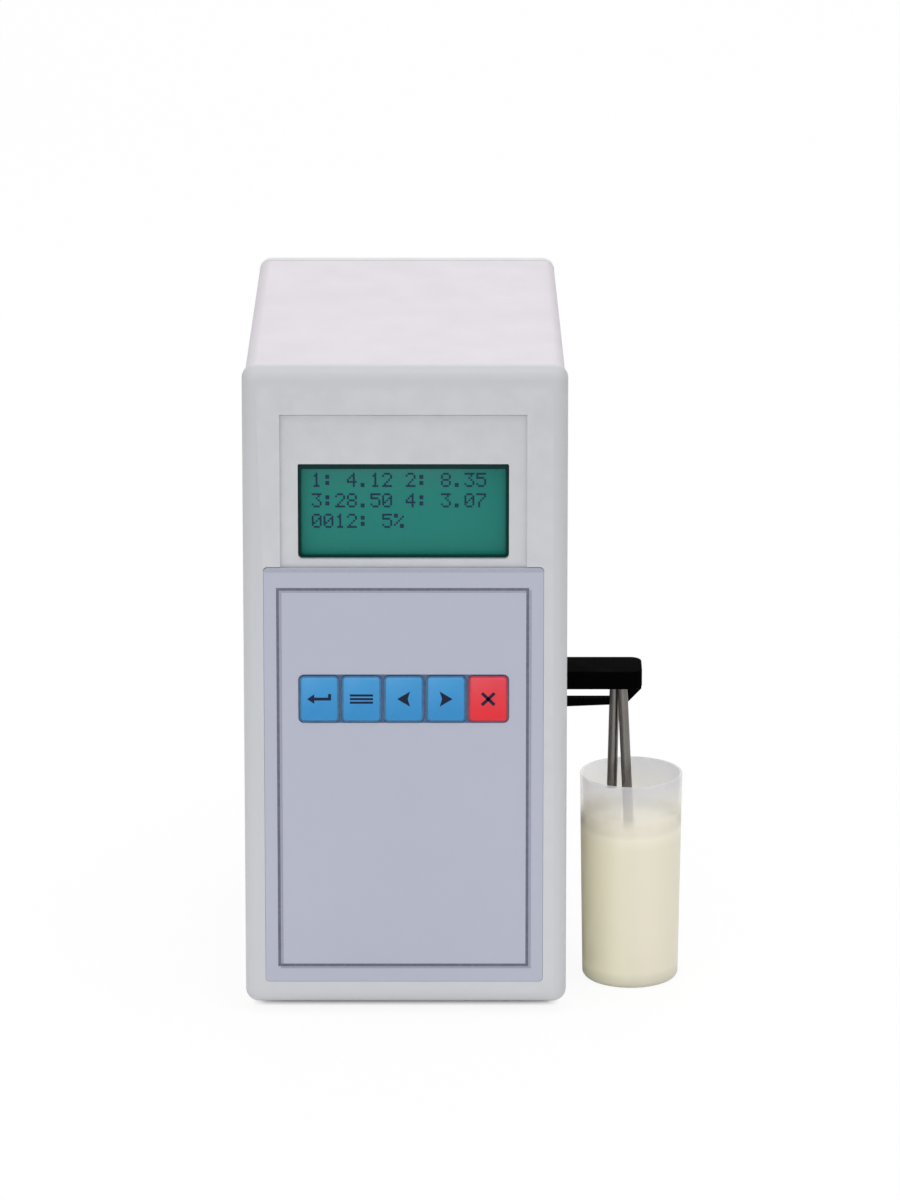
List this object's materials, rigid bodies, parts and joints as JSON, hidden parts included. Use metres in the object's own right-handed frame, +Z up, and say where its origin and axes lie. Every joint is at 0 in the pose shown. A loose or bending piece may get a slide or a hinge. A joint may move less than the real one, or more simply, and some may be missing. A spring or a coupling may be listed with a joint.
{
  "type": "milk analyzer",
  "caption": "Bench milk analyzer: tall moulded case with display and key panel, a side arm that lifts its steel tubes, and a translucent sample cup.",
  "frame": {"origin": "on the table under the centre of the whole part's box, cup and rear fittings included", "axes": "+Z up, -Y the front with the display and keys, +X towards the arm and the cup"},
  "size_m": [0.1342, 0.1414, 0.2048],
  "materials": {
    "bezel": "satin moulded light grey",
    "shell": "fine textured off-white",
    "rear": "fine textured light grey",
    "rubber": "matte",
    "steel": "drawn stainless",
    "sheet": "bare sheet",
    "port": "plated shell",
    "lcd_frame": "black",
    "lcd_glass": "green liquid crystal glass",
    "board": "circuit board",
    "overlay": "printed polyester film",
    "key_blue": "printed film, embossed",
    "key_red": "printed film, embossed",
    "dome": "spring steel",
    "black": "satin black",
    "dark": "dark moulded",
    "copper": "copper",
    "core": "laminated core",
    "cell": "machined stainless",
    "acetal": "acetal",
    "brass": "machined",
    "hose": "silicone",
    "ribbon": "flat lead",
    "cup": "translucent natural polypropylene"
  },
  "bodies": {
    "case": {"front_bezel": "bezel", "case_shell": "shell", "rear_panel": "rear", "foot_front_left": "rubber", "foot_front_right": "rubber", "foot_rear_left": "rubber", "foot_rear_right": "rubber", "rear_screw_1": "steel", "rear_screw_2": "steel", "rear_screw_3": "steel", "rear_screw_4": "steel", "lcd_frame": "lcd_frame", "lcd_glass": "lcd_glass", "lcd_board": "board", "keypad_overlay": "overlay", "key_dome_sheet": "dome", "keypad_board": "board", "inner_chassis": "sheet", "main_board": "board", "controller_chip": "dark", "filter_capacitor": "dark", "display_ribbon": "ribbon", "keypad_ribbon": "ribbon", "transformer_core": "core", "transformer_coil": "copper", "measuring_cell": "cell", "transducer_front": "brass", "transducer_rear": "brass", "heater_plate": "copper", "pump_motor": "sheet", "pump_housing": "dark", "pump_cover": "acetal", "pump_tube": "hose", "intake_hose": "hose", "cell_hose": "hose", "return_hose": "hose", "probe_rest": "black", "guide_rod_front": "steel", "guide_rod_rear": "steel", "lift_bracket": "sheet", "power_inlet": "black", "power_switch": "black", "fuse_holder": "black", "serial_port": "port"},
    "key_enter": {"key_enter": "key_blue"},
    "key_menu": {"key_menu": "key_blue"},
    "key_left": {"key_left": "key_blue"},
    "key_right": {"key_right": "key_blue"},
    "key_reset": {"key_reset": "key_red"},
    "probe": {"probe_head": "black", "probe_carriage": "acetal", "intake_tube": "steel", "return_tube": "steel"},
    "pump_rotor": {"pump_rotor": "acetal"},
    "pump_roller_1": {"pump_roller_1": "steel"},
    "pump_roller_2": {"pump_roller_2": "steel"},
    "pump_roller_3": {"pump_roller_3": "steel"},
    "rocker": {"power_rocker": "dark"},
    "fuse_cap": {"fuse_cap": "dark"},
    "cup": {"sample_cup": "cup"}
  },
  "joints": [
    {"name": "key_enter_press", "type": "slide", "parent": "case", "child": "key_enter", "axis": [0, 1, 0], "range_m": [0, 0.0004], "stiffness_N_per_m": 800},
    {"name": "key_menu_press", "type": "slide", "parent": "case", "child": "key_menu", "axis": [0, 1, 0], "range_m": [0, 0.0004], "stiffness_N_per_m": 800},
    {"name": "key_left_press", "type": "slide", "parent": "case", "child": "key_left", "axis": [0, 1, 0], "range_m": [0, 0.0004], "stiffness_N_per_m": 800},
    {"name": "key_right_press", "type": "slide", "parent": "case", "child": "key_right", "axis": [0, 1, 0], "range_m": [0, 0.0004], "stiffness_N_per_m": 800},
    {"name": "key_reset_press", "type": "slide", "parent": "case", "child": "key_reset", "axis": [0, 1, 0], "range_m": [0, 0.0004], "stiffness_N_per_m": 800},
    {"name": "probe_lift", "type": "slide", "parent": "case", "child": "probe", "axis": [0, 0, 1], "range_m": [0, 0.053], "deforming": ["intake_hose", "return_hose"]},
    {"name": "pump_spin", "type": "hinge", "parent": "case", "child": "pump_rotor", "pos_m": [0.00262, 0.03365, 0.07], "axis": [1, 0, 0], "continuous": true},
    {"name": "roller_1_spin", "type": "hinge", "parent": "pump_rotor", "child": "pump_roller_1", "pos_m": [0.00412, 0.03365, 0.061], "axis": [1, 0, 0], "continuous": true},
    {"name": "roller_2_spin", "type": "hinge", "parent": "pump_rotor", "child": "pump_roller_2", "pos_m": [0.00412, 0.02586, 0.0745], "axis": [1, 0, 0], "continuous": true},
    {"name": "roller_3_spin", "type": "hinge", "parent": "pump_rotor", "child": "pump_roller_3", "pos_m": [0.00412, 0.04144, 0.0745], "axis": [1, 0, 0], "continuous": true},
    {"name": "power_rocker_tip", "type": "hinge", "parent": "case", "child": "rocker", "pos_m": [-0.00608, 0.06245, 0.032], "axis": [1, 0, 0], "range_deg": [-20, 0]},
    {"name": "fuse_cap_turn", "type": "hinge", "parent": "case", "child": "fuse_cap", "pos_m": [-0.04808, 0.06625, 0.066], "axis": [0, 1, 0], "range_deg": [0, 45]},
    {"name": "cup_lift", "type": "slide", "parent": "case", "child": "cup", "axis": [0, 0, 1], "range_m": [-0.054, 0.01]}
  ],
  "couplings": [
    {"joint": "roller_1_spin", "follows": "pump_spin", "ratio": -3.5714},
    {"joint": "roller_2_spin", "follows": "pump_spin", "ratio": -3.5714},
    {"joint": "roller_3_spin", "follows": "pump_spin", "ratio": -3.5714}
  ]
}
